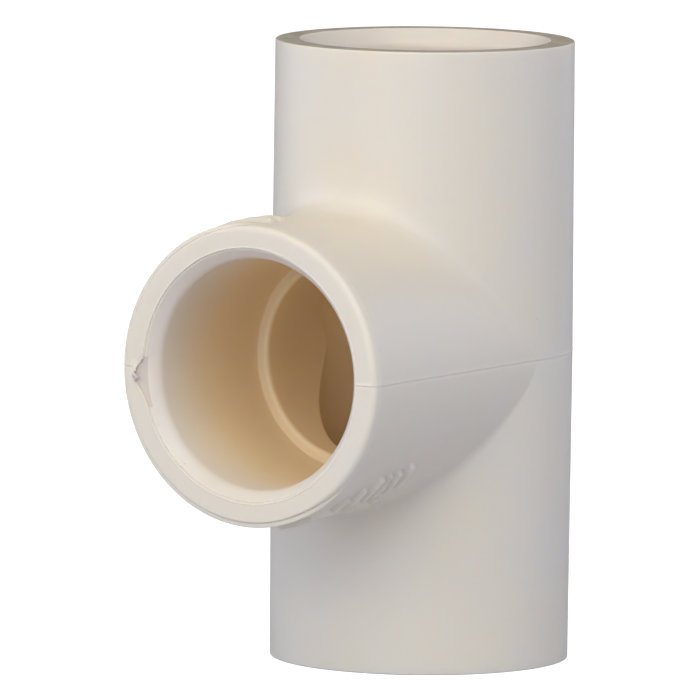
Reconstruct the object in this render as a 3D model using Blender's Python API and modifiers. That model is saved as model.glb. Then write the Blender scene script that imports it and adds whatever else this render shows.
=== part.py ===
"""A slip-socket pipe tee moulded in one piece of cream CPVC.

A straight run stands on its lower end, with a socket at each end, and a branch with a third
socket leaves it at half height towards -Y. The pipes are cemented into the sockets, each up
to a moulded stop, and the three waterways meet inside. Units are metres, +Z is up, and the
origin is below the middle of the fitting, in the plane that it stands on.
"""
import math

import bpy

# Driving dimensions, for 3/4 inch copper-tube-size pipe of 22.2 mm outside diameter.
ARM_LENGTH = 0.0308                # from where the axes cross to each of the three end faces
RUN_RADIUS = 0.0150                # outside of the run, at half height
RUN_END_RADIUS = 0.01485           # outside of the run at its ends: the mould's draft
BRANCH_RADIUS = 0.01485            # outside of the branch

SOCKET_DEPTH = 0.0178              # from an end face to the pipe's stop
SOCKET_MOUTH_RADIUS = 0.01135      # the pipe slides in easily here
SOCKET_BOTTOM_RADIUS = 0.01095     # and wedges before it reaches the stop
LEAD_IN_WIDTH = 0.00115            # the chamfer around each socket's mouth, across
LEAD_IN_DEPTH = 0.0014             # and along the axis
RUN_WATERWAY_RADIUS = 0.0101
BRANCH_WATERWAY_RADIUS = 0.0098

RUN_END_ROUND = 0.00035            # rounding of the run's outer end edges
BRANCH_MOUTH_ROUND = 0.0009        # rounding of the branch's outer end edge
STOP_ROUND = 0.0005                # rounding where a stop turns into its waterway

STEPS = 72                         # flats around each turned shape
ARC_POINTS = 4                     # points along each rounded edge
CUTTER_OVERRUN = 0.0020            # how far a cutter reaches past a face
MERGE_DISTANCE = 0.000001

AXIS_Y = (ARM_LENGTH - RUN_RADIUS) / 2   # the run's axis, with the fitting centred on the origin
AXIS_HEIGHT = ARM_LENGTH                 # the branch's axis

PLASTIC_COLOUR = (0.86, 0.79, 0.68, 1.0)
PLASTIC_ROUGHNESS = 0.42


def clear_scene():
    for item in list(bpy.data.objects):
        bpy.data.objects.remove(item, do_unlink=True)


def new_collection(name):
    collection = bpy.data.collections.new(name)
    bpy.context.scene.collection.children.link(collection)
    return collection


def plastic():
    material = bpy.data.materials.new("cream_plastic")
    material.use_nodes = True
    shader = material.node_tree.nodes["Principled BSDF"]
    shader.inputs["Base Color"].default_value = PLASTIC_COLOUR
    shader.inputs["Roughness"].default_value = PLASTIC_ROUGHNESS
    shader.inputs["Metallic"].default_value = 0.0
    return material


def arc(centre, radius, start, end):
    """Profile points on a quarter round, with angles from the radius axis, in degrees."""
    turns = [start + (end - start) * index / (ARC_POINTS - 1) for index in range(ARC_POINTS)]
    return [(centre[0] + radius * math.cos(math.radians(turn)),
             centre[1] + radius * math.sin(math.radians(turn))) for turn in turns]


def turned(name, profile, collection):
    """A solid turned about its own Z, from (radius, height) points that run down its outer side."""
    points = [(radius, 0.0, height) for radius, height in profile]
    edges = [(index, index + 1) for index in range(len(points) - 1)]
    mesh = bpy.data.meshes.new(name)
    mesh.from_pydata(points, edges, [])
    item = bpy.data.objects.new(name, mesh)
    collection.objects.link(item)
    turn = item.modifiers.new("Turn", "SCREW")
    turn.axis = "Z"
    turn.angle = math.tau
    turn.steps = STEPS
    turn.render_steps = STEPS
    turn.use_merge_vertices = True
    turn.merge_threshold = MERGE_DISTANCE
    return item


def place_on_run(item):
    item.location = (0.0, AXIS_Y, AXIS_HEIGHT)


def place_on_branch(item):
    """Turns the piece's own +Z to the branch's direction, -Y."""
    item.location = (0.0, AXIS_Y, AXIS_HEIGHT)
    item.rotation_euler = (math.radians(90), 0.0, 0.0)


def hide_as_guide(item):
    item.hide_render = True
    item.display_type = "WIRE"


def run_barrel(collection):
    """The outside of the run: widest at half height, with lightly rounded end edges."""
    round_centre = (RUN_END_RADIUS - RUN_END_ROUND, ARM_LENGTH - RUN_END_ROUND)
    upper_edge = arc(round_centre, RUN_END_ROUND, 90, 0)
    lower_edge = [(radius, -height) for radius, height in reversed(upper_edge)]
    profile = [(0.0, ARM_LENGTH), *upper_edge, (RUN_RADIUS, 0.0),
               *lower_edge, (0.0, -ARM_LENGTH)]
    return turned("tee_body", profile, collection)


def branch_barrel(collection):
    """The outside of the branch, from the run's axis to its well rounded mouth."""
    round_centre = (BRANCH_RADIUS - BRANCH_MOUTH_ROUND, ARM_LENGTH - BRANCH_MOUTH_ROUND)
    mouth_edge = arc(round_centre, BRANCH_MOUTH_ROUND, 90, 0)
    profile = [(0.0, ARM_LENGTH), *mouth_edge, (BRANCH_RADIUS, 0.0), (0.0, 0.0)]
    return turned("branch_barrel", profile, collection)


def socket_profile(face, waterway_radius):
    """The hollow behind an end face: the lead-in, the tapered socket and the stop's round edge."""
    lead_in_slope = LEAD_IN_WIDTH / LEAD_IN_DEPTH
    outer_radius = SOCKET_MOUTH_RADIUS + LEAD_IN_WIDTH
    stop = face - SOCKET_DEPTH
    round_centre = (waterway_radius + STOP_ROUND, stop - STOP_ROUND)
    stop_edge = arc(round_centre, STOP_ROUND, 90, 180)
    return [(outer_radius + lead_in_slope * CUTTER_OVERRUN, face + CUTTER_OVERRUN),
            (SOCKET_MOUTH_RADIUS, face - LEAD_IN_DEPTH),
            (SOCKET_BOTTOM_RADIUS, stop), *stop_edge]


def run_hollow(collection):
    """The two sockets of the run and the waterway between them."""
    upper = socket_profile(ARM_LENGTH, RUN_WATERWAY_RADIUS)
    lower = [(radius, -height) for radius, height in reversed(upper)]
    top = ARM_LENGTH + CUTTER_OVERRUN
    item = turned("run_hollow", [(0.0, top), *upper, *lower, (0.0, -top)], collection)
    hide_as_guide(item)
    return item


def branch_hollow(collection):
    """The branch's socket and its waterway, which opens into the run's."""
    socket = socket_profile(ARM_LENGTH, BRANCH_WATERWAY_RADIUS)
    profile = [(0.0, ARM_LENGTH + CUTTER_OVERRUN), *socket,
               (BRANCH_WATERWAY_RADIUS, 0.0), (0.0, 0.0)]
    item = turned("branch_hollow", profile, collection)
    hide_as_guide(item)
    return item


def combine(item, other, operation):
    boolean = item.modifiers.new(f"{operation.title()} {other.name}", "BOOLEAN")
    boolean.operation = operation
    boolean.solver = "EXACT"
    boolean.object = other


def build():
    clear_scene()
    parts = new_collection("pipe_tee")
    cutters = new_collection("cutters")

    body = run_barrel(parts)
    place_on_run(body)
    body.data.materials.append(plastic())

    barrel = branch_barrel(cutters)
    hide_as_guide(barrel)
    hollows = [run_hollow(cutters), branch_hollow(cutters)]
    place_on_branch(barrel)
    place_on_run(hollows[0])
    place_on_branch(hollows[1])

    combine(body, barrel, "UNION")
    for hollow in hollows:
        combine(body, hollow, "DIFFERENCE")


build()
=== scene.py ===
# %% [markdown]
# # A cement-socket pipe tee
#
# The real tee is one injection moulding of cream CPVC. Its looks come from very little: the way three
# round arms grow into each other, a few soft and a few crisp edges, the marks that the mould left, and
# a plastic that lets some light in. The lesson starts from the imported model, which stays the frame:
# every size below is read from its box or named where it is first used.

# %% Load the frame
import math

import bmesh
import bpy
from mathutils import Matrix, Vector, noise


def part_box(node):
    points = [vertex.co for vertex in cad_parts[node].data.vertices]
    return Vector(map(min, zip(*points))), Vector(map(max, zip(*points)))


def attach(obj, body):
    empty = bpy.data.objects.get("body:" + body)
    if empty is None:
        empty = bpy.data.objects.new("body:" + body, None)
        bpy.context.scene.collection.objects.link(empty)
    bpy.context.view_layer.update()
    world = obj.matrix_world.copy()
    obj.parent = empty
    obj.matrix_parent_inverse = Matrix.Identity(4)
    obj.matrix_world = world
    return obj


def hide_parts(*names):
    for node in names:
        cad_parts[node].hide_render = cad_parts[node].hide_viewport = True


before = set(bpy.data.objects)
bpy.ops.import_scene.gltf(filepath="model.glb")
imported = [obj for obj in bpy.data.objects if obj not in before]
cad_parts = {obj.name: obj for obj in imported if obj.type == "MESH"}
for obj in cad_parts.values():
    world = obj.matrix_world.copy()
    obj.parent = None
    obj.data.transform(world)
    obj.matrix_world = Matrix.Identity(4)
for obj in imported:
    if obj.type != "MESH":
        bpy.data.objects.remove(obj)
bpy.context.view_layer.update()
low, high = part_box("tee_body")
print("frame box, mm:", [round(side * 1000, 2) for side in high - low])

# %% [markdown]
# ## Sizes that the frame gives
#
# The tee stands on its lower end. The run is as wide as the box, the three arms are equally long, and
# the branch points to -Y. All shapes are first made around the point where the two axes cross, with
# the run along Z, and `PLACE` puts them into the frame at the end.

# %% Read the driving sizes
MM = 0.001
RUN_RADIUS = high.x
ARM = (high.z - low.z) / 2
CROSSING = Vector((0.0, high.y - RUN_RADIUS, low.z + ARM))
PLACE = Matrix.Translation(CROSSING)
print("run radius", RUN_RADIUS, "arm", ARM, "crossing", CROSSING)

# %% [markdown]
# ## The camera
#
# The picture of a small part taken from far away has almost no perspective, so this is a long lens at
# 1.2 m. The camera looks at a point a little to the left of the run, because the branch reaches that
# way, and it leans by half a degree.

# %% Camera
VIEW_AZIMUTH = math.radians(33.16)
VIEW_ELEVATION = math.radians(6.53)
VIEW_LEAN = math.radians(0.584)
VIEW_DISTANCE = 80.0 * RUN_RADIUS
VIEW_WIDTH = 69.6 * MM
AIM_LEFT = 7.14 * MM
AIM_DOWN = 0.30 * MM

back = Vector((math.sin(VIEW_AZIMUTH) * math.cos(VIEW_ELEVATION),
               -math.cos(VIEW_AZIMUTH) * math.cos(VIEW_ELEVATION),
               math.sin(VIEW_ELEVATION)))
right = Vector((math.cos(VIEW_AZIMUTH), math.sin(VIEW_AZIMUTH), 0.0))
up = back.cross(right)
camera_data = bpy.data.cameras.new("camera")
camera_data.sensor_width = 36.0
camera_data.lens = camera_data.sensor_width * VIEW_DISTANCE / VIEW_WIDTH
camera_data.clip_start = 0.05
camera_data.clip_end = 20.0
camera = bpy.data.objects.new("camera", camera_data)
bpy.context.scene.collection.objects.link(camera)
camera.location = CROSSING + back * VIEW_DISTANCE
aim = CROSSING - right * AIM_LEFT - up * AIM_DOWN
look = (aim - camera.location).to_track_quat("-Z", "Y").to_matrix()
camera.rotation_euler = (look @ Matrix.Rotation(VIEW_LEAN, 3, "Z")).to_euler()
bpy.context.scene.camera = camera
print("lens", round(camera_data.lens), "mm")

# %% [markdown]
# ## Outlines with rounded corners
#
# Each turned surface of the tee follows an outline: a few corners, some sharp and some eased. A corner
# is given as (radius, height, easing). `eased` walks through the corners, swaps each eased one for a
# short curve, and adds a few points to the straight stretches, so that the shading near a curve stays
# on the curve and doesn't smear along the wall.

# %% Outline helper
CURVE_STEPS = 6
STRAIGHT_SHARES = (0.03, 0.12, 0.35, 0.65, 0.88, 0.97)


def eased(corners):
    """Points along an outline of (radius, height, easing) corners."""
    stops = [Vector(corner[:2]) for corner in corners]
    pieces = [[stops[0]]]
    for index in range(1, len(corners) - 1):
        before, here, after = stops[index - 1:index + 2]
        ease = corners[index][2]
        start = here + (before - here).normalized() * ease
        end = here + (after - here).normalized() * ease
        shares = [step / CURVE_STEPS for step in range(CURVE_STEPS + 1)] if ease else [0.0]
        pieces.append([start * (1 - t) ** 2 + here * 2 * t * (1 - t) + end * t ** 2 for t in shares])
    pieces.append([stops[-1]])
    points = list(pieces[0])
    for piece in pieces[1:]:
        start = points[-1]
        if (piece[0] - start).length > 1.5 * MM:
            points += [start.lerp(piece[0], share) for share in STRAIGHT_SHARES]
        points += piece
    return [tuple(point) for point in points]


# %% [markdown]
# ## What the pipe end goes into
#
# All three arms end the same way inside: a lip, a lead-in that guides the pipe, a socket that narrows
# a little so that the pipe wedges in its cement, and a stop that the pipe end rests against. The
# outline runs from the lip inwards, as (radius, depth behind the end face).

# %% The socket's outline
BRANCH_RADIUS = 14.85 * MM
RUN_END_RADIUS = 14.85 * MM
SOCKET_DEPTH = 17.8 * MM
SOCKET_MOUTH = 11.35 * MM
SOCKET_BOTTOM = 10.95 * MM
LIP_RADIUS = 12.5 * MM
LEAD_IN_DEPTH = 1.4 * MM
LIP_GROOVE = 0.20 * MM
GROOVE_END = (LIP_RADIUS - 0.17 * MM, 0.7 * LIP_GROOVE)
RUN_WATERWAY = 10.1 * MM
BRANCH_WATERWAY = 9.8 * MM
STOP_ROUND = 0.55 * MM


def socket_outline(waterway):
    """Lip, lead-in, tapered wall and stop, ending on the waterway's wall."""
    return eased([(LIP_RADIUS - 0.001 * MM, 0.0, 0.0),
                  (LIP_RADIUS - 0.05 * MM, LIP_GROOVE, 0.02 * MM),
                  (*GROOVE_END, 0.04 * MM),
                  (SOCKET_MOUTH, LEAD_IN_DEPTH, 0.55 * MM),
                  (SOCKET_BOTTOM, SOCKET_DEPTH, 0.16 * MM),
                  (waterway, SOCKET_DEPTH, STOP_ROUND),
                  (waterway, SOCKET_DEPTH + 1.2 * STOP_ROUND, 0.0)])


print("points along a socket:", len(socket_outline(BRANCH_WATERWAY)))

# %% [markdown]
# ## Pulling rings
#
# The body is grown the way a potter pulls a wall. It starts as one circle of edges on the branch's end
# face. Each pull extrudes the last ring of edges and puts the new ring's points where they belong. A
# point remembers its turn around the branch in a layer, which the extrusion copies, so a rule can say
# where it goes next. Two things follow from that: one unbroken skin without a seam, and full control
# of the place where the branch grows out of the run, which a plain union would leave as a sharp line.

# %% Start the skin and define a pull
COLUMNS = 384                       # points around the branch: a multiple of 12
skin = bmesh.new()
turn_layer = skin.verts.layers.float.new("turn")


def pull(edges, put):
    """Extrudes a ring of edges, puts each new point at put(turn), and returns the new ring."""
    made = bmesh.ops.extrude_edge_only(skin, edges=edges)["geom"]
    points = {item for item in made if isinstance(item, bmesh.types.BMVert)}
    for point in points:
        point.co = put(point[turn_layer])
    return [item for item in made if isinstance(item, bmesh.types.BMEdge)
            and item.verts[0] in points and item.verts[1] in points]


def around_branch(radius, reach):
    """A rule that puts a point on a ring around the branch, reach away from the crossing."""
    return lambda turn: Vector((radius * math.cos(turn), -reach, radius * math.sin(turn)))


FLAT_EDGE = BRANCH_RADIUS - 0.85 * MM
circle = bmesh.ops.create_circle(skin, segments=COLUMNS, radius=FLAT_EDGE, cap_ends=False)["verts"]
for point in circle:
    point[turn_layer] = math.atan2(point.co.y, point.co.x)
    point.co = around_branch(FLAT_EDGE, ARM)(point[turn_layer])
first_ring = list(skin.edges)
print("first ring:", len(first_ring), "edges")

# %% [markdown]
# ## The blend where two round bores or barrels meet
#
# Roll a ball along the corner between the branch and the run: its middle runs where the two surfaces,
# both moved outwards by the ball's radius, cross. It touches the branch at one point and the run at
# another, and the blend is a curve between those two. An arc would do, but its ends catch the light
# as a line. So the curve here starts along the branch and ends along the run's round surface, and
# bends most in its middle, near the corner where the bare surfaces would cross. The same rule serves
# inside, where it rounds the edge between the two waterways. The ball is largest above the branch and
# smallest at its sides, where the surfaces nearly run into each other anyway.

# %% The rolling ball's blend
BLEND_STEPS = 12
RUN_DRAFT = (RUN_RADIUS - RUN_END_RADIUS) / ARM


def on_run(angle, height, radius, draft):
    """The point on the run's surface, which narrows by draft towards both ends."""
    here = radius - draft * abs(height)
    return Vector((here * math.sin(angle), -here * math.cos(angle), height))


def touch_points(turn, branch_radius, run_radius, ball):
    """Where the ball touches the branch and the run, for a turn around the branch."""
    across = (branch_radius + ball) * math.cos(turn)
    height = (branch_radius + ball) * math.sin(turn)
    inwards = math.sqrt((run_radius + ball) ** 2 - across ** 2)
    branch_touch = Vector((branch_radius * math.cos(turn), -inwards, branch_radius * math.sin(turn)))
    run_touch = Vector((across, -inwards, 0.0)) * run_radius / (run_radius + ball)
    run_touch.z = height
    return branch_touch, run_touch


def hold(share):
    """How much of an end's distance from the corner is left, share of the way along the blend."""
    rest = 1.0 - share
    return rest ** 5 + 3.0 * share * rest ** 4 + 2.0 * share ** 2 * rest ** 3


def blend(branch_radius, run_radius, ball_at, draft, step):
    """A rule for step 0 (on the branch) to BLEND_STEPS (on the run) of the blend."""
    share = step / BLEND_STEPS

    def put(turn):
        branch_touch, run_touch = touch_points(turn, branch_radius, run_radius, ball_at(turn))
        across, height = branch_touch.x, branch_touch.z
        local_radius = run_radius - draft * abs(height)
        corner = Vector((across, -math.sqrt(local_radius ** 2 - across ** 2), height))
        near, far = math.atan2(across, -corner.y), math.atan2(run_touch.x, -run_touch.y)
        along = hold(1.0 - share)
        surface = on_run(near + (far - near) * along, height + (run_touch.z - height) * along,
                         run_radius, draft)
        return surface + (branch_touch - corner) * hold(share)
    return put


SIDE_BALL = 1.4 * MM
ABOVE_EXTRA = 2.5 * MM              # added straight above the branch, fading towards its sides
BELOW_EXTRA = 1.3 * MM
INNER_BALL = 0.8 * MM


def outer_ball(turn):
    """The ball's radius in the corner outside, for a turn around the branch."""
    steepness = abs(math.sin(turn))
    if turn > 0:
        return SIDE_BALL + ABOVE_EXTRA * steepness ** 0.6
    return SIDE_BALL + BELOW_EXTRA * steepness ** 0.5


def inner_ball(turn):
    """The ball's radius where the waterways meet, the same all round."""
    return INNER_BALL


print("ball above the branch:", round(outer_ball(math.pi / 2) / MM, 2), "mm")


# %% [markdown]
# ## From a round hole to a straight pipe
#
# Behind the blend the skin has to spread from the branch's outline over the whole run: up and down to
# the two end edges, and round the back, where its left and right halves meet. Seen unrolled, that is
# a rectangle around a hole. Each point of the hole's edge gets a goal on the rectangle's edge. Points
# in the steep part of the turn go to an end edge, the others to the line down the back, and `spread`
# puts a point part of the way along.

# %% Goals and the spread
CORNER_TURN = math.radians(30)
TINY = 1e-6
OUTER_STEPS = 30
INNER_STEPS = 16


def goal(turn, hole_radius, end_height):
    """(angle round the run, height) where the skin arrives, for a turn around the branch."""
    side = 1.0 if math.cos(turn) >= 0 else -1.0
    upper = 1.0 if math.sin(turn) >= 0 else -1.0
    steep = math.atan2(abs(math.sin(turn)), abs(math.cos(turn)))
    if steep < CORNER_TURN - TINY:
        plain = hole_radius * steep
        rest = end_height - hole_radius * CORNER_TURN
        return side * math.pi, upper * (plain + rest * (steep / CORNER_TURN) ** 3)
    share = (math.pi / 2 - steep) / (math.pi / 2 - CORNER_TURN)
    return side * math.pi * share, upper * end_height


def spread(branch_radius, run_radius, ball_at, end_height, draft, share):
    """A rule for a ring that lies on the run, share of the way from the blend to the goals."""
    def put(turn):
        start = touch_points(turn, branch_radius, run_radius, ball_at(turn))[1]
        angle = math.atan2(start.x, -start.y)
        goal_angle, goal_height = goal(turn, branch_radius, end_height)
        return on_run(angle + (goal_angle - angle) * share,
                      start.z + (goal_height - start.z) * share, run_radius, draft)
    return put


# %% [markdown]
# ## Raised marks on the branch
#
# The mould has shallow engraving, which leaves raised marks on the barrel: some on top near the mouth
# and some low on the far side. Here they are plain bars and dots that say nothing. Each one lies
# around the barrel and is given by where it starts and ends, first along the barrel and then in turn.
# It needs no extra points around the barrel, only rings where it starts and ends.

# %% The bars' height
BAR_HEIGHT = 0.42 * MM
BAR_SLOPE = 0.10 * MM
LOW_SHARE = 1.2                     # the marks low on the barrel stand higher
TOP_BARS = [(2.5, 3.6, 88, 112), (4.3, 5.4, 88, 112)]
LOW_BARS = [(3.3, 4.1, -60, -51), (4.9, 5.6, -57, -46), (6.3, 7.1, -54, -41), (7.8, 8.4, -52, -40),
            (9.1, 9.9, -51, -39), (10.6, 11.4, -48, -36)]
LOW_DOTS = [(6.3, 7.1, -62, -58), (9.1, 9.9, -58, -54)]
FOOT_BARS = [(1.7, 2.1, -80, -66)]
bars = [(start * MM, end * MM, math.radians(low_turn), math.radians(high_turn))
        for start, end, low_turn, high_turn in TOP_BARS + LOW_BARS + LOW_DOTS + FOOT_BARS]


def bar_height(turn, depth):
    """How far a point stands proud of the barrel, depth behind the end face."""
    for start, end, low_turn, high_turn in bars:
        if start < depth < end and low_turn < turn < high_turn:
            wear = 0.9 + 0.35 * noise.noise(Vector((turn * 8.0, depth / MM * 0.9, 0.0)))
            return BAR_HEIGHT * wear * (LOW_SHARE if turn < 0 else 1.0)
    return 0.0


bar_rings = sorted({depth for start, end, low_turn, high_turn in bars
                    for depth in (start, start + BAR_SLOPE, (start + end) / 2, end - BAR_SLOPE, end)})
print("rings for the bars:", len(bar_rings))

# %% [markdown]
# ## The outer skin
#
# From the first ring: the rounded mouth edge, the barrel with its bars, the blend, and the run. At the
# left and below, the mould's face plate stood a hair inside the barrel's own steel. There the flat face
# ends in a fine groove, with a narrow shoulder around it, so the mouth has two outlines that are mixed
# by the turn. The groove's bottom is a fine dark line on the real tee, so it keeps a sharp corner.

# %% Pull the outer skin
NECK_RADIUS = BRANCH_RADIUS - 0.48 * MM
NECK_DEPTH = 0.30 * MM
SHOULDER_DEPTH = 0.18 * MM
RIM_RADIUS = BRANCH_RADIUS + 0.06 * MM
RIM_END = 0.75 * MM
MOUTH_END = 1.38 * MM
NECK_MIDDLE = math.radians(-155)
NECK_FULL = math.radians(86)
NECK_END = math.radians(120)

neck_outline = eased([(FLAT_EDGE, 0.0, 0.0),
                      (NECK_RADIUS, 0.0, 0.10 * MM),
                      (NECK_RADIUS + 0.03 * MM, NECK_DEPTH, 0.0),
                      (NECK_RADIUS + 0.14 * MM, SHOULDER_DEPTH, 0.04 * MM),
                      (RIM_RADIUS, SHOULDER_DEPTH + 0.04 * MM, 0.14 * MM),
                      (RIM_RADIUS, RIM_END, 0.03 * MM),
                      (BRANCH_RADIUS, MOUTH_END, 0.0)])
plain_outline = eased([(FLAT_EDGE, 0.0, 0.0),
                       (BRANCH_RADIUS - 0.03 * MM, 0.0, 0.78 * MM),
                       (BRANCH_RADIUS - 0.03 * MM, 0.82 * MM, 0.0),
                       (BRANCH_RADIUS - 0.02 * MM, 0.90 * MM, 0.02 * MM),
                       (BRANCH_RADIUS, 1.05 * MM, 0.02 * MM),
                       (BRANCH_RADIUS, 1.20 * MM, 0.03 * MM),
                       (BRANCH_RADIUS, MOUTH_END, 0.0)])
print("points along the mouth:", len(neck_outline), "and", len(plain_outline))


def neck_share(turn):
    """1 where the neck stands clear, at the left and below, fading to almost nothing at the right."""
    off = abs((turn - NECK_MIDDLE + math.pi) % (2 * math.pi) - math.pi)
    fade = min(1.0, max(0.0, (NECK_END - off) / (NECK_END - NECK_FULL)))
    return 0.05 + 0.95 * fade * fade * (3 - 2 * fade)


def mouth(plain, neck):
    """A rule for a ring between the plain outline and the one with the neck."""
    def put(turn):
        radius, depth = Vector(plain).lerp(Vector(neck), neck_share(turn))
        return around_branch(radius, ARM - depth)(turn)
    return put


ring = first_ring
for plain, neck in zip(plain_outline[1:], neck_outline[1:]):
    ring = pull(ring, mouth(plain, neck))
for depth in bar_rings:
    ring = pull(ring, lambda turn, depth=depth:
                around_branch(BRANCH_RADIUS + bar_height(turn, depth), ARM - depth)(turn))


def towards_root(start, branch_radius, run_radius, ball_at, draft, share):
    """A rule for a ring between a straight ring at reach start and the wavy root of the branch."""
    root = blend(branch_radius, run_radius, ball_at, draft, 0)

    def put(turn):
        end = root(turn)
        return Vector((end.x, -start + (end.y + start) * share, end.z))
    return put


barrel_start = ARM - bar_rings[-1]
for share in (0.05, 0.15, 0.3, 0.45, 0.6, 0.75, 0.87, 0.95, 1.0):
    ring = pull(ring, towards_root(barrel_start, BRANCH_RADIUS, RUN_RADIUS, outer_ball, RUN_DRAFT, share))
for step in range(1, BLEND_STEPS + 1):
    ring = pull(ring, blend(BRANCH_RADIUS, RUN_RADIUS, outer_ball, RUN_DRAFT, step))
RUN_END_ROUND = 0.20 * MM
outer_end = ARM - RUN_END_ROUND
for step in range(1, OUTER_STEPS + 1):
    share = (step / OUTER_STEPS) ** 1.25
    ring = pull(ring, spread(BRANCH_RADIUS, RUN_RADIUS, outer_ball, outer_end, RUN_DRAFT, share))
print("outer skin:", len(skin.faces), "faces")

# %% [markdown]
# ## Where the gate was snapped off
#
# Molten plastic enters the mould through a gate, here on the left of the branch's mouth. When it is
# snapped off it takes a bite out of the lip: a short ragged edge above, and a long clean slope below.
# The bite moves the lip's ring outwards. The rings of the flat face follow it part of the way, and the
# rings just inside the lip stay, so a sunk facet opens between the two. Curls of torn plastic stand on
# the bite's upper edge.

# %% The bite in the lip
GATE_CUT = 1.25 * MM
GATE_TOP = 0.95 * MM
GATE_MIDDLE = -0.80 * MM
GATE_FOOT = -3.9 * MM
GATE_RAGGED = 0.22 * MM
TORN_HEIGHT = 1.2 * GATE_RAGGED
TORN_FOOT = GATE_MIDDLE - 0.5 * MM
GATE_CURL = 1.6 * MM
CURL_LIFT = 0.2                     # a curl stands off the face by this share of its reach inwards
BITE_OUTER = LIP_RADIUS - 0.18 * MM
BITE_INNER = LIP_RADIUS - 0.36 * MM


def gate_cut(turn):
    """How far the lip is moved outwards, for a turn around the branch."""
    height = LIP_RADIUS * math.sin(turn)
    if math.cos(turn) > 0 or not GATE_FOOT < height < GATE_TOP:
        return 0.0
    if height < GATE_MIDDLE:
        return GATE_CUT * ((height - GATE_FOOT) / (GATE_MIDDLE - GATE_FOOT)) ** 1.4
    share = (GATE_TOP - height) / (GATE_TOP - GATE_MIDDLE)
    return GATE_CUT * share + GATE_RAGGED * noise.noise(Vector((height / MM * 4.0, 0.0, 0.0))) * share


def bitten(radius, depth):
    """A rule for a ring near the lip that follows the bite and shows its torn surface."""
    if radius > LIP_RADIUS:
        follow = (FLAT_EDGE - radius) / (FLAT_EDGE - LIP_RADIUS)
    else:
        follow = min(1.0, max(0.0, (radius - BITE_INNER) / (BITE_OUTER - BITE_INNER)))

    def put(turn):
        height = radius * math.sin(turn)
        torn = curl = 0.0
        if math.cos(turn) < 0 and TORN_FOOT < height < GATE_TOP:
            torn = TORN_HEIGHT * follow * noise.noise(Vector((height / MM * 5.0, radius / MM, 3.0)))
            if depth < 0:
                curl = GATE_CURL * abs(noise.noise(Vector((height / MM * 4.5, 7.0, 0.0))))
        reach = ARM - depth + torn + CURL_LIFT * curl
        return around_branch(radius + gate_cut(turn) * follow - curl, reach)(turn)
    return put


print("lip at the bite:", round((LIP_RADIUS + gate_cut(math.radians(183.7))) / MM, 2), "mm")

# %% [markdown]
# ## The inner skin
#
# The same start ring, pulled the other way: across the flat end face, over a hair of flash that the
# core pin left standing at the lip, down the socket, over the stop into the waterway, round the edge
# into the run's waterway, and out to where the run's own stops end.

# %% Pull the inner skin
LIP_FLASH = 0.06 * MM
branch_socket = socket_outline(BRANCH_WATERWAY)
lead_in_share = (GROOVE_END[0] - BITE_INNER) / (GROOVE_END[0] - SOCKET_MOUTH)
bite_end = (BITE_INNER, GROOVE_END[1] + (LEAD_IN_DEPTH - GROOVE_END[1]) * lead_in_share)
branch_socket.insert(sum(radius > BITE_INNER for radius, depth in branch_socket), bite_end)
flat = [(FLAT_EDGE + (LIP_RADIUS - FLAT_EDGE) * share, 0.0) for share in (0.1, 0.3, 0.5, 0.7, 0.86)]
flash = [(LIP_RADIUS + 0.13 * MM, 0.0), (LIP_RADIUS + 0.09 * MM, -LIP_FLASH),
         (LIP_RADIUS + 0.03 * MM, -LIP_FLASH)]
ring = first_ring
for radius, depth in flat + flash + branch_socket:
    ring = pull(ring, bitten(radius, depth))
waterway_start = ARM - branch_socket[-1][1]
for share in (0.5, 1.0):
    rule = towards_root(waterway_start, BRANCH_WATERWAY, RUN_WATERWAY, inner_ball, 0.0, share)
    ring = pull(ring, rule)
for step in range(1, BLEND_STEPS + 1):
    ring = pull(ring, blend(BRANCH_WATERWAY, RUN_WATERWAY, inner_ball, 0.0, step))
run_socket = socket_outline(RUN_WATERWAY)
inner_end = ARM - run_socket[-1][1]
for step in range(1, INNER_STEPS + 1):
    share = step / INNER_STEPS
    ring = pull(ring, spread(BRANCH_WATERWAY, RUN_WATERWAY, inner_ball, inner_end, 0.0, share))
print("with the inner skin:", len(skin.faces), "faces")

# %% [markdown]
# ## The two ends of the run
#
# The outer skin now ends in two open circles. Their rings are pulled over the end edge, across the
# end face and down the run's sockets, where they meet the inner skin's own open circles.

# %% Pull the run's ends
MERGE = 0.001 * MM
bmesh.ops.remove_doubles(skin, verts=skin.verts, dist=MERGE)


def around_run(radius, height):
    """A rule for a ring around the run's axis at one end, above or below as the turn says."""
    def put(turn):
        angle, end_height = goal(turn, BRANCH_RADIUS, outer_end)
        return on_run(angle, math.copysign(height, end_height), radius, 0.0)
    return put


end_outline = eased([(RUN_END_RADIUS + RUN_DRAFT * RUN_END_ROUND, RUN_END_ROUND, 0.0),
                     (RUN_END_RADIUS, 0.0, 0.17 * MM),
                     (RUN_END_RADIUS - 0.5 * MM, 0.0, 0.0)])
flat_start = end_outline[-1][0]
end_flat = [(flat_start + (LIP_RADIUS - flat_start) * share, 0.0) for share in (0.3, 0.6, 0.9, 1.0)]
for direction in (1, -1):
    ring = [edge for edge in skin.edges if edge.is_boundary
            and all(point.co.z * direction > outer_end - 0.01 * MM for point in edge.verts)]
    for radius, depth in end_outline[1:] + end_flat + run_socket[1:]:
        ring = pull(ring, around_run(radius, ARM - depth))
bmesh.ops.remove_doubles(skin, verts=skin.verts, dist=MERGE)
bmesh.ops.recalc_face_normals(skin, faces=skin.faces)
open_edges = [edge for edge in skin.edges if not edge.is_manifold]
print("closed skin:", len(skin.faces), "faces,", len(open_edges), "open edges,",
      "volume cm3", round(skin.calc_volume(signed=True) * 1e6, 2))

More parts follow.
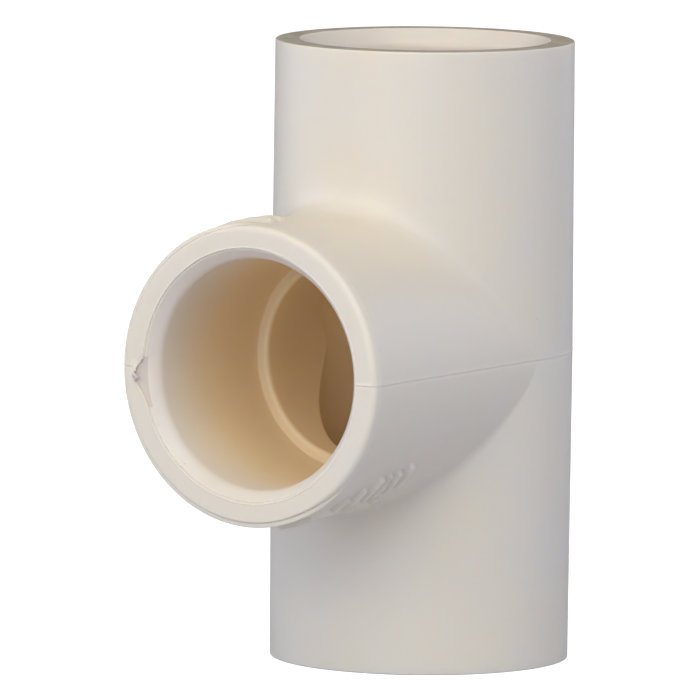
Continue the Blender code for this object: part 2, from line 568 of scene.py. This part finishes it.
# %% [markdown]
# ## The parting line
#
# The two halves of the mould met on the plane that the branch's axis lies in, square to the run. They
# never close perfectly, so the tee carries a line all the way round there: a low ridge with a groove
# under it. A few cuts parallel to that plane give the line its own points, and those are then moved
# along their normals. The line stays off the sockets, because the core pins have no joint there.

# %% Raise the parting line
PARTING_LINE = [(-0.14 * MM, -0.02 * MM), (-0.07 * MM, -0.035 * MM), (0.0, 0.01 * MM),
                (0.07 * MM, 0.03 * MM), (0.14 * MM, 0.02 * MM)]
FACE_SHARE = 3.0                    # on the flat face: a higher ridge at the right, a deeper groove left
NEAR_LINE = 0.5 * MM


def has_line(place):
    """True outside the sockets, and clear of the bite at the gate."""
    away = math.hypot(place.x, place.y) if place.y > 0 else abs(place.x)
    start = LIP_RADIUS + 0.15 * MM if place.x > 0 else LIP_RADIUS + 1.1 * GATE_CUT
    return abs(place.z) < NEAR_LINE and away > start


for level, rise in PARTING_LINE:
    faces = [face for face in skin.faces if has_line(face.calc_center_median())]
    edges = {edge for face in faces for edge in face.edges}
    points = {point for face in faces for point in face.verts}
    bmesh.ops.bisect_plane(skin, geom=list(points) + list(edges) + faces, dist=MERGE,
                           plane_co=(0, 0, level), plane_no=(0, 0, 1))
skin.normal_update()
moves = []
for level, rise in PARTING_LINE:
    for point in skin.verts:
        if abs(point.co.z - level) < MERGE and has_line(point.co):
            on_face = point.co.y < 0.05 * MM - ARM
            stronger = on_face and (rise > 0) == (point.co.x > 0)
            moves.append((point, point.normal * rise * (FACE_SHARE if stronger else 1.0)))
for point, move in moves:
    point.co += move
print("points on the parting line:", len(moves))

# %% [markdown]
# ## What the finishes need to know
#
# Light that has bounced inside the tee has passed through or off the plastic many times and comes out
# warm.
# That bounce light is painted into the bore's colour, from a layer, `depth`: 0 outside and at the three
# mouths, 1 at the crossing. A second layer, `spoke`, says which way round a point sits, for the fine
# drag lines that the core pins left along the bores.

# %% Depth and spoke layers
depth_layer = skin.verts.layers.float.new("depth")
spoke_layer = skin.verts.layers.float_vector.new("spoke")


def in_bore(place):
    """True on the walls of the hollow, from the lips inwards."""
    in_branch = place.y < 0 and math.hypot(place.x, place.z) < LIP_RADIUS + 0.01 * MM
    return in_branch or math.hypot(place.x, place.y) < LIP_RADIUS + 0.01 * MM


for point in skin.verts:
    turn = point[turn_layer]
    nearest = max(0.0, min(point.co.y + ARM, ARM - abs(point.co.z)))
    point[depth_layer] = nearest / ARM if in_bore(point.co) else 0.0
    point[spoke_layer] = (math.cos(turn), math.sin(turn), point[depth_layer])
print("points in the bores:", sum(in_bore(point.co) for point in skin.verts))

# %% [markdown]
# ## Which face gets which finish
#
# The bores and the run's two end faces were formed by polished steel, the rest by satin steel. Three
# small places are pale: the curls at the bite, which are torn plastic, and the ridge of the parting line
# across the flat face on the other side and the top of the flash around the lip, which are partly
# stress-whitened and partly painted highlight. The sunk facet of the bite itself is rough, and its
# darker colour is painted shade in the recess.

# %% The five finishes' faces
OUTSIDE, BORE, TORN_AND_HIGHLIGHT, END_FACE, BITE = range(5)
CURLS_END = 13.9 * MM
CURLS_HALF_HEIGHT = 0.7 * MM
ON_FACE = 0.02 * MM
NEAR_FACE = 0.1 * MM
RIDGE_TOP = PARTING_LINE[-1][0]
FLASH_MIDDLE = LIP_RADIUS + 0.06 * MM
FLASH_HALF_WIDTH = 0.05 * MM
FACET_INNER = LIP_RADIUS - 0.30 * MM
FACET_OUTER = 13.85 * MM
FACET_TOP = 0.10 * MM
FACET_BOTTOM = 0.42 * MM


def is_torn_and_highlit(place):
    """True on the curls at the bite, on the ridge across the flat face, and on the lip's flash."""
    on_curls = (-CURLS_END < place.x < -LIP_RADIUS and place.y < ON_FACE - ARM
                and abs(place.z) < CURLS_HALF_HEIGHT)
    # Painted highlight: the ridge and the flash are pale partly for stress whitening and partly to stand
    # in for the light they catch.
    on_ridge = place.x > LIP_RADIUS and place.y < NEAR_FACE - ARM and 0.0 < place.z < RIDGE_TOP
    off_flash = abs(math.hypot(place.x, place.z) - FLASH_MIDDLE)
    return on_curls or on_ridge or (off_flash < FLASH_HALF_WIDTH and place.y < -ARM)


def is_bite(place):
    """True on the sunk facet that the snapped gate left."""
    beside_lip = FACET_INNER < math.hypot(place.x, place.z) < FACET_OUTER and place.x < 0
    return beside_lip and GATE_FOOT < place.z < GATE_TOP and FACET_TOP < place.y + ARM < FACET_BOTTOM


def finish_at(place):
    """The finish of a face whose middle is at place, before it is moved into the frame."""
    if is_torn_and_highlit(place):
        return TORN_AND_HIGHLIGHT
    if is_bite(place):
        return BITE
    if in_bore(place):
        return BORE
    return END_FACE if abs(place.z) > ARM - ON_FACE else OUTSIDE


for face in skin.faces:
    face.material_index = finish_at(face.calc_center_median())
print("torn faces:", sum(face.material_index == TORN_AND_HIGHLIGHT for face in skin.faces))

# %% The tee's mesh and object
body_mesh = bpy.data.meshes.new("tee_moulding")
skin.transform(PLACE)
skin.to_mesh(body_mesh)
skin.free()
body_mesh.shade_smooth()
body = bpy.data.objects.new("tee_moulding", body_mesh)
bpy.context.scene.collection.objects.link(body)
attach(body, "root")
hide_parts("tee_body")
body_mesh.calc_loop_triangles()
print("triangles:", len(body_mesh.loop_triangles))

# %% [markdown]
# ## The plastic's own variation
#
# Cream CPVC looks even, but not flat. The colour drifts a little over centimetres where the melt cooled
# at different speeds, faint flow streaks cross it, and a few specks of burnt or foreign grain sit in it.
# The polish of the steel drifts too, and the skin has a very fine orange peel. All five finishes share
# this, so it is a node group with the colours and amounts as inputs. It also mixes in a warmer cream
# where a finish asks for it, which is painted bounce light.

# %% A node helper and the shared group
def add(tree, kind, settings=None, inputs=None):
    """Adds a node, sets its properties, and links or sets its inputs."""
    made = tree.nodes.new("ShaderNode" + kind)
    for name, value in (settings or {}).items():
        setattr(made, name, value)
    for name, value in (inputs or {}).items():
        socket = made.inputs[name]
        if isinstance(value, bpy.types.NodeSocket):
            tree.links.new(value, socket)
        else:
            socket.default_value = value
    return made


group = bpy.data.node_groups.new("moulded_plastic", "ShaderNodeTree")
for name, kind, start in (("Colour", "NodeSocketColor", (0.8, 0.7, 0.55, 1)),
                          ("Painted Bounce Colour", "NodeSocketColor", (0.8, 0.6, 0.4, 1)),
                          ("Painted Bounce Share", "NodeSocketFloat", 0.0), ("Drift", "NodeSocketFloat", 1.0),
                          ("Specks", "NodeSocketFloat", 1.0), ("Roughness", "NodeSocketFloat", 0.42)):
    group.interface.new_socket(name, in_out="INPUT", socket_type=kind).default_value = start
for name, kind in (("Colour", "NodeSocketColor"), ("Roughness", "NodeSocketFloat"),
                   ("Height", "NodeSocketFloat")):
    group.interface.new_socket(name, in_out="OUTPUT", socket_type=kind)
print("group sockets:", len(group.interface.items_tree))

# %% Colour drift, flow streaks and specks
given = group.nodes.new("NodeGroupInput")
place = add(group, "TexCoord").outputs["Object"]
clouds = add(group, "TexNoise", inputs={"Vector": place, "Scale": 75.0, "Detail": 2.0})
flow_place = add(group, "Mapping", inputs={"Vector": place, "Scale": (1.0, 0.6, 0.35),
                                           "Rotation": (0.3, 0.2, 0.0)})
flow = add(group, "TexNoise", inputs={"Vector": flow_place.outputs[0], "Scale": 260.0,
                                      "Detail": 3.0, "Distortion": 0.8})
# Painted bounce light: mixes the colour towards the warmer cream by the share that a finish gives.
bounce_painted = add(group, "MixRGB", inputs={"Fac": given.outputs["Painted Bounce Share"], "Color1": given.outputs["Colour"],
                                      "Color2": given.outputs["Painted Bounce Colour"]})
drift = add(group, "MapRange", inputs={"Value": clouds.outputs["Fac"], "From Min": 0.3,
                                       "From Max": 0.7, "To Min": -0.03, "To Max": 0.03})
streak = add(group, "MapRange", inputs={"Value": flow.outputs["Fac"], "From Min": 0.3,
                                        "From Max": 0.7, "To Min": -0.012, "To Max": 0.012})
both = add(group, "Math", {"operation": "ADD"}, {0: drift.outputs[0], 1: streak.outputs[0]})
amount = add(group, "Math", {"operation": "MULTIPLY"}, {0: both.outputs[0], 1: given.outputs["Drift"]})
warm_share = add(group, "Math", {"operation": "MULTIPLY_ADD"}, {0: amount.outputs[0], 1: 0.35, 2: 1.0})
cool_share = add(group, "Math", {"operation": "MULTIPLY_ADD"}, {0: amount.outputs[0], 1: -1.0, 2: 1.0})
tint = add(group, "CombineColor", inputs={"Red": warm_share.outputs[0], "Green": 1.0,
                                          "Blue": cool_share.outputs[0]})
tinted = add(group, "MixRGB", {"blend_type": "MULTIPLY"}, {"Fac": 1.0, "Color1": bounce_painted.outputs[0],
                                                           "Color2": tint.outputs[0]})
grains = add(group, "TexVoronoi", inputs={"Vector": place, "Scale": 260.0, "Randomness": 1.0})
grain_edge = add(group, "MapRange", inputs={"Value": grains.outputs["Distance"], "From Min": 0.008,
                                            "From Max": 0.024, "To Min": 1.0, "To Max": 0.0})
grain_pick = add(group, "SeparateColor", inputs={"Color": grains.outputs["Color"]})
rare = add(group, "Math", {"operation": "GREATER_THAN"}, {0: grain_pick.outputs["Red"], 1: 0.86})
speck = add(group, "Math", {"operation": "MULTIPLY"}, {0: grain_edge.outputs[0], 1: rare.outputs[0]})
speck_share = add(group, "Math", {"operation": "MULTIPLY"}, {0: speck.outputs[0],
                                                             1: given.outputs["Specks"]})
specked = add(group, "MixRGB", inputs={"Fac": speck_share.outputs[0], "Color1": tinted.outputs[0],
                                       "Color2": (0.52, 0.43, 0.31, 1)})
print("colour nodes:", len(group.nodes))

# %% Polish and orange peel
polish = add(group, "TexNoise", inputs={"Vector": place, "Scale": 420.0, "Detail": 3.0})
polish_drift = add(group, "MapRange", inputs={"Value": polish.outputs["Fac"], "From Min": 0.3,
                                              "From Max": 0.7, "To Min": -0.05, "To Max": 0.05})
rough = add(group, "Math", {"operation": "ADD"}, {0: given.outputs["Roughness"],
                                                  1: polish_drift.outputs[0]})
peel = add(group, "TexNoise", inputs={"Vector": place, "Scale": 1400.0, "Detail": 2.0})
given_out = group.nodes.new("NodeGroupOutput")
group.links.new(specked.outputs[0], given_out.inputs["Colour"])
group.links.new(rough.outputs[0], given_out.inputs["Roughness"])
group.links.new(peel.outputs["Fac"], given_out.inputs["Height"])
print("group nodes:", len(group.nodes))

# %% [markdown]
# ## Five finishes from one plastic
#
# Outside, the steel of the mould is satin. The plates that form the run's end faces are polished, and
# so are the core pins that form the bores, which drag fine lines along the wall as they pull out. At
# the gate the plastic tore: pale and rough in its curls, rough in the sunk facet, whose darker colour is
# painted shade in the recess. The pale ridge of the parting line and the lip's flash are partly painted
# highlight, and the bores carry painted bounce light and a slightly cooler cream for the cool light on
# their lead-ins. Light goes a little way into the plastic before it comes out, further in red than in
# blue, and that is what keeps the thin edges from looking like painted metal.

# %% The outer and torn finishes
CREAM = (0.80, 0.715, 0.565, 1)
# Painted cool light: a little bluer than the outside cream, for the cool light that falls on the
# lead-ins.
BORE_PAINTED_COOL_CREAM = (0.79, 0.715, 0.60, 1)
# Painted bounce light: the warmer, deeper cream that the bores turn to towards the crossing.
PAINTED_BOUNCE_CREAM = (0.90, 0.70, 0.41, 1)
# Torn plastic and painted highlight: pale cream for the curls, the parting ridge and the lip's flash.
TORN_AND_HIGHLIGHT_CREAM = (0.86, 0.765, 0.60, 1)
# Painted shade: a darker cream for the sunk facet, where the recess lies in shade.
BITE_PAINTED_SHADE_CREAM = (0.67, 0.575, 0.475, 1)


def plastic(name):
    """A material with the plastic's constant values, and its group."""
    material = bpy.data.materials.new(name)
    material.use_nodes = True
    tree = material.node_tree
    shader = tree.nodes["Principled BSDF"]
    shader.inputs["IOR"].default_value = 1.52
    shader.inputs["Subsurface Weight"].default_value = 0.4
    shader.inputs["Subsurface Radius"].default_value = (1.0, 0.7, 0.4)
    shader.inputs["Subsurface Scale"].default_value = 1.5 * MM
    shared = add(tree, "Group", {"node_tree": group}, {"Colour": CREAM, "Painted Bounce Colour": PAINTED_BOUNCE_CREAM})
    tree.links.new(shared.outputs["Colour"], shader.inputs["Base Color"])
    tree.links.new(shared.outputs["Roughness"], shader.inputs["Roughness"])
    return material, tree, shader, shared


outside, tree, shader, shared = plastic("satin_outside")
peel_bump = add(tree, "Bump", inputs={"Height": shared.outputs["Height"], "Distance": 0.02 * MM,
                                      "Strength": 0.25})
tree.links.new(peel_bump.outputs[0], shader.inputs["Normal"])

# Pale torn plastic on the curls; on the parting ridge and the lip's flash the paleness is partly stress
# whitening and partly painted highlight.
torn, tree, shader, shared = plastic("torn_gate_and_painted_highlight")
shared.inputs["Colour"].default_value = TORN_AND_HIGHLIGHT_CREAM
shared.inputs["Roughness"].default_value = 0.6
torn_noise = add(tree, "TexNoise", inputs={"Vector": add(tree, "TexCoord").outputs["Object"],
                                           "Scale": 2600.0, "Detail": 4.0})
torn_bump = add(tree, "Bump", inputs={"Height": torn_noise.outputs["Fac"], "Distance": 0.15 * MM,
                                      "Strength": 0.8})
tree.links.new(torn_bump.outputs[0], shader.inputs["Normal"])
print("finishes:", outside.name, torn.name)

# %% The bore finish
bore, tree, shader, shared = plastic("polished_bore")
shared.inputs["Colour"].default_value = BORE_PAINTED_COOL_CREAM
shared.inputs["Roughness"].default_value = 0.36
# Painted bounce light: the bore's colour turns warmer towards the crossing, for light that bounced inside
# the hollow.
how_deep = add(tree, "Attribute", {"attribute_name": "depth"})
painted_bounce_share = add(tree, "MapRange", inputs={"Value": how_deep.outputs["Fac"], "From Min": 0.05,
                                       "From Max": 0.34})
tree.links.new(painted_bounce_share.outputs[0], shared.inputs["Painted Bounce Share"])
spoke = add(tree, "Attribute", {"attribute_name": "spoke"})
lines_place = add(tree, "Mapping", inputs={"Vector": spoke.outputs["Vector"],
                                           "Scale": (55.0, 55.0, 0.8)})
lines = add(tree, "TexNoise", inputs={"Vector": lines_place.outputs[0], "Scale": 1.0, "Detail": 3.0})
line_bump = add(tree, "Bump", inputs={"Height": lines.outputs["Fac"], "Distance": 0.01 * MM,
                                      "Strength": 0.15})
tree.links.new(line_bump.outputs[0], shader.inputs["Normal"])
print("finish:", bore.name)

# %% The end faces' and the bite's finishes, and all the slots
end_face, tree, shader, shared = plastic("plate_polished_ends")
shared.inputs["Roughness"].default_value = 0.20
# Painted shade: the sunk facet's darker cream stands in for shade in the recess, on top of its real torn
# roughness.
bite, tree, shader, shared = plastic("snapped_gate_painted_shade")
shared.inputs["Colour"].default_value = BITE_PAINTED_SHADE_CREAM
shared.inputs["Roughness"].default_value = 0.55
for material in (outside, bore, torn, end_face, bite):
    body_mesh.materials.append(material)
print("slots:", [material.name for material in body_mesh.materials])

# %% [markdown]
# ## Light
#
# Plain soft studio light: large square lamps all around. The strongest stand at the left, in front and
# high on the right, and are slightly cool. The one high in front and the one on top are warmer. A
# little comes from behind, so that the tee reads from every side. The lamps don't show, and neither
# does the room: a camera ray that misses everything sees a plain white backdrop.

# %% The lamps
scene = bpy.context.scene
scene.view_settings.view_transform = "Standard"
LAMP_DISTANCE = 0.7
# name, azimuth and elevation in degrees, side of the square, watts, colour
LAMPS = [("left", -70, 10, 0.6, 2.85, (0.61, 0.74, 1.0)),
         ("front", 10, 10, 0.6, 2.60, (0.66, 0.74, 1.0)),
         ("back_right", 130, 10, 0.6, 1.80, (0.60, 0.68, 1.0)),
         ("high_front", 0, 45, 0.6, 1.45, (1.0, 0.86, 0.60)),
         ("high_right", 50, 45, 0.6, 2.55, (0.79, 0.89, 1.0)),
         ("top", 0, 88, 0.6, 0.72, (1.0, 0.74, 0.62)),
         ("back", 175, 8, 0.3, 0.55, (0.9, 0.95, 1.0))]
for name, azimuth, elevation, size, watts, colour in LAMPS:
    turn, tilt = math.radians(azimuth), math.radians(elevation)
    away = Vector((math.sin(turn) * math.cos(tilt), -math.cos(turn) * math.cos(tilt), math.sin(tilt)))
    light = bpy.data.lights.new(name, "AREA")
    light.energy, light.size, light.color = watts, size, colour
    lamp = bpy.data.objects.new(name, light)
    scene.collection.objects.link(lamp)
    lamp.location = CROSSING + away * LAMP_DISTANCE
    lamp.rotation_euler = (-away).to_track_quat("-Z", "Y").to_euler()
    lamp.visible_camera = False
print("lamps:", len(LAMPS))

# %% The backdrop and the floor
world = bpy.data.worlds.new("studio")
scene.world = world
world.use_nodes = True
sky = world.node_tree
sky.nodes.clear()
room = add(sky, "Background", inputs={"Color": (0.9, 0.93, 1.0, 1), "Strength": 0.04})
backdrop = add(sky, "Background", inputs={"Color": (1, 1, 1, 1), "Strength": 1.0})
seen = add(sky, "LightPath").outputs["Is Camera Ray"]
choice = add(sky, "MixShader", inputs={"Fac": seen, 1: room.outputs[0], 2: backdrop.outputs[0]})
add(sky, "OutputWorld", inputs={"Surface": choice.outputs[0]})

bpy.ops.mesh.primitive_plane_add(size=3.0, location=(0, 0, 0))
floor = bpy.context.object
floor.name = "floor"
paper = bpy.data.materials.new("white_paper")
paper.use_nodes = True
paper_shader = paper.node_tree.nodes["Principled BSDF"]
paper_shader.inputs["Base Color"].default_value = (0.62, 0.63, 0.70, 1)
paper_shader.inputs["Roughness"].default_value = 0.9
paper_shader.inputs["Emission Color"].default_value = (1, 1, 1, 1)
seen = add(paper.node_tree, "LightPath").outputs["Is Camera Ray"]
paper.node_tree.links.new(seen, paper_shader.inputs["Emission Strength"])
floor.data.materials.append(paper)
print("floor and backdrop ready")
